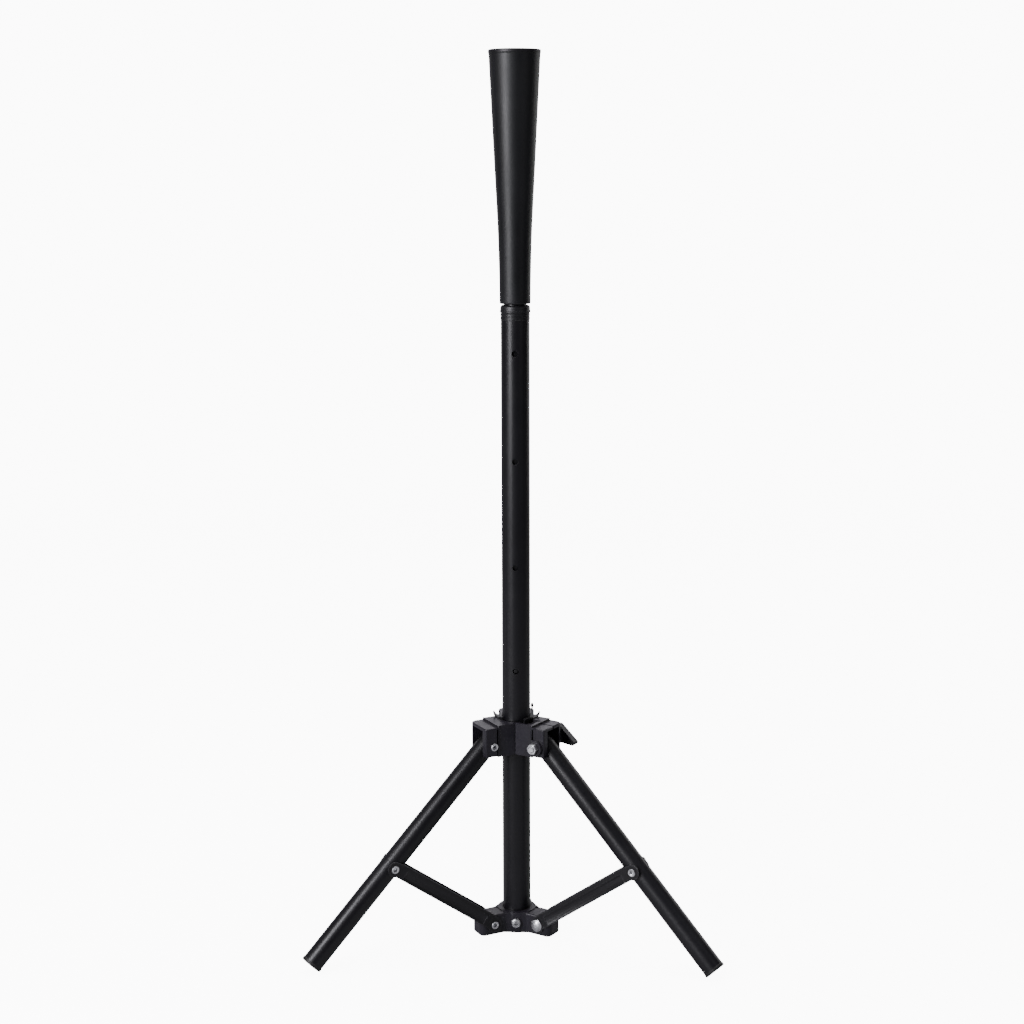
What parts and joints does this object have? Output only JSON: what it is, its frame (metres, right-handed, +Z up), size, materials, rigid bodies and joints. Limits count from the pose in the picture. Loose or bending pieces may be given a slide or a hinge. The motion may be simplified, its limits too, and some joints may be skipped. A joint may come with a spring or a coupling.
{
  "type": "batting tee",
  "caption": "Folding tripod batting tee with a flexible conical ball rest on a height-adjustable mast and a clamped sliding hub.",
  "frame": {"origin": "middle of the footprint on the floor; the mast axis stands 55 mm in front of it, because the third leg points straight back", "axes": "+Z up along the mast, +X to the right, +Y to the back, 2.4 degrees from the rear leg; the row of height holes faces -Y"},
  "size_m": [0.4064, 0.3548, 0.8754],
  "materials": {
    "tube_enamel": "satin black powder coat on drawn steel tube",
    "leg_enamel": "satin black powder coat on drawn steel tube",
    "strut_enamel": "satin black powder coat on flat bar",
    "cone_rubber": "smooth moulded black rubber, soft sheen",
    "hub_plastic": "fine-grained moulded black nylon",
    "bushing_plastic": "moulded black acetal, slightly waxy",
    "cap_plastic": "moulded black rubber, dusty at the sole",
    "knob_plastic": "moulded black nylon",
    "inner_enamel": "satin black powder coat, rubbed by sliding",
    "zinc": "bright zinc plate",
    "spring_steel": "tempered spring strip",
    "wire_steel": "bright wire"
  },
  "bodies": {
    "mast_base": {"outer_tube": "tube_enamel", "tube_top_ferrule": "bushing_plastic", "tube_bottom_plug": "bushing_plastic", "lower_hub": "hub_plastic", "lower_hub_screw": "zinc", "lower_strut_rivets": "zinc"},
    "upper_hub": {"upper_hub": "hub_plastic", "hub_guide_bushing": "bushing_plastic", "retaining_pin": "wire_steel", "retaining_pin_head": "bushing_plastic", "left_leg_pivot_rivet": "zinc", "rear_leg_pivot_rivet": "zinc", "clamp_nut": "zinc"},
    "clamp": {"clamp_bolt": "zinc", "clamp_knob": "knob_plastic"},
    "mast": {"inner_tube": "inner_enamel", "inner_tube_glide": "bushing_plastic", "ball_rest_adapter": "bushing_plastic", "ball_rest_cone": "cone_rubber", "snap_spring": "spring_steel"},
    "snap_button": {"snap_button": "bushing_plastic"},
    "left_leg": {"left_leg": "leg_enamel", "left_foot_cap": "cap_plastic", "left_leg_pin": "zinc"},
    "left_strut": {"left_strut": "strut_enamel", "left_strut_rivet_heads": "zinc"},
    "right_leg": {"right_leg": "leg_enamel", "right_foot_cap": "cap_plastic", "right_leg_pin": "zinc"},
    "right_strut": {"right_strut": "strut_enamel", "right_strut_rivet_heads": "zinc"},
    "rear_leg": {"rear_leg": "leg_enamel", "rear_foot_cap": "cap_plastic", "rear_leg_pin": "zinc"},
    "rear_strut": {"rear_strut": "strut_enamel", "rear_strut_rivet_heads": "zinc"}
  },
  "joints": [
    {"name": "tripod_fold", "type": "slide", "parent": "mast_base", "child": "upper_hub", "axis": [0, 0, 1], "range_m": [0, 0.09878]},
    {"name": "left_leg_pivot", "type": "hinge", "parent": "upper_hub", "child": "left_leg", "pos_m": [-0.0291, -0.07176, 0.2031], "axis": [0.5, -0.866, 0], "range_deg": [0, 44.7]},
    {"name": "left_strut_pivot", "type": "hinge", "parent": "mast_base", "child": "left_strut", "pos_m": [-0.02728, -0.07071, 0.015], "axis": [-0.5, 0.866, 0], "range_deg": [0, 54]},
    {"name": "right_leg_pivot", "type": "hinge", "parent": "upper_hub", "child": "right_leg", "pos_m": [0.0291, -0.07176, 0.2031], "axis": [0.5, 0.866, 0], "range_deg": [0, 44.7]},
    {"name": "right_strut_pivot", "type": "hinge", "parent": "mast_base", "child": "right_strut", "pos_m": [0.02728, -0.07071, 0.015], "axis": [-0.5, -0.866, 0], "range_deg": [0, 54]},
    {"name": "rear_leg_pivot", "type": "hinge", "parent": "upper_hub", "child": "rear_leg", "pos_m": [-0.00141, -0.02139, 0.2031], "axis": [-0.9991, -0.0419, 0], "range_deg": [0, 44.7]},
    {"name": "rear_strut_pivot", "type": "hinge", "parent": "mast_base", "child": "rear_strut", "pos_m": [-0.00132, -0.02348, 0.015], "axis": [0.9991, 0.0419, 0], "range_deg": [0, 54]},
    {"name": "mast_slide", "type": "slide", "parent": "mast_base", "child": "mast", "axis": [0, 0, 1], "range_m": [0, 0.3147]},
    {"name": "snap_button_press", "type": "slide", "parent": "mast", "child": "snap_button", "axis": [0, -1, 0], "range_m": [-0.003, 0], "stiffness_N_per_m": 400, "springref_m": 0.002, "deforming": ["snap_spring"]},
    {"name": "clamp_knob_turn", "type": "hinge", "parent": "upper_hub", "child": "clamp", "pos_m": [0.0291, -0.07176, 0.2031], "axis": [0.5, 0.866, 0], "range_deg": [0, 360]}
  ],
  "couplings": [
    {"joint": "left_leg_pivot", "follows": "tripod_fold", "rad_per_m": 7.8983},
    {"joint": "left_strut_pivot", "follows": "tripod_fold", "rad_per_m": 9.5413},
    {"joint": "right_leg_pivot", "follows": "tripod_fold", "rad_per_m": 7.8983},
    {"joint": "right_strut_pivot", "follows": "tripod_fold", "rad_per_m": 9.5413},
    {"joint": "rear_leg_pivot", "follows": "tripod_fold", "rad_per_m": 7.8983},
    {"joint": "rear_strut_pivot", "follows": "tripod_fold", "rad_per_m": 9.5413}
  ]
}
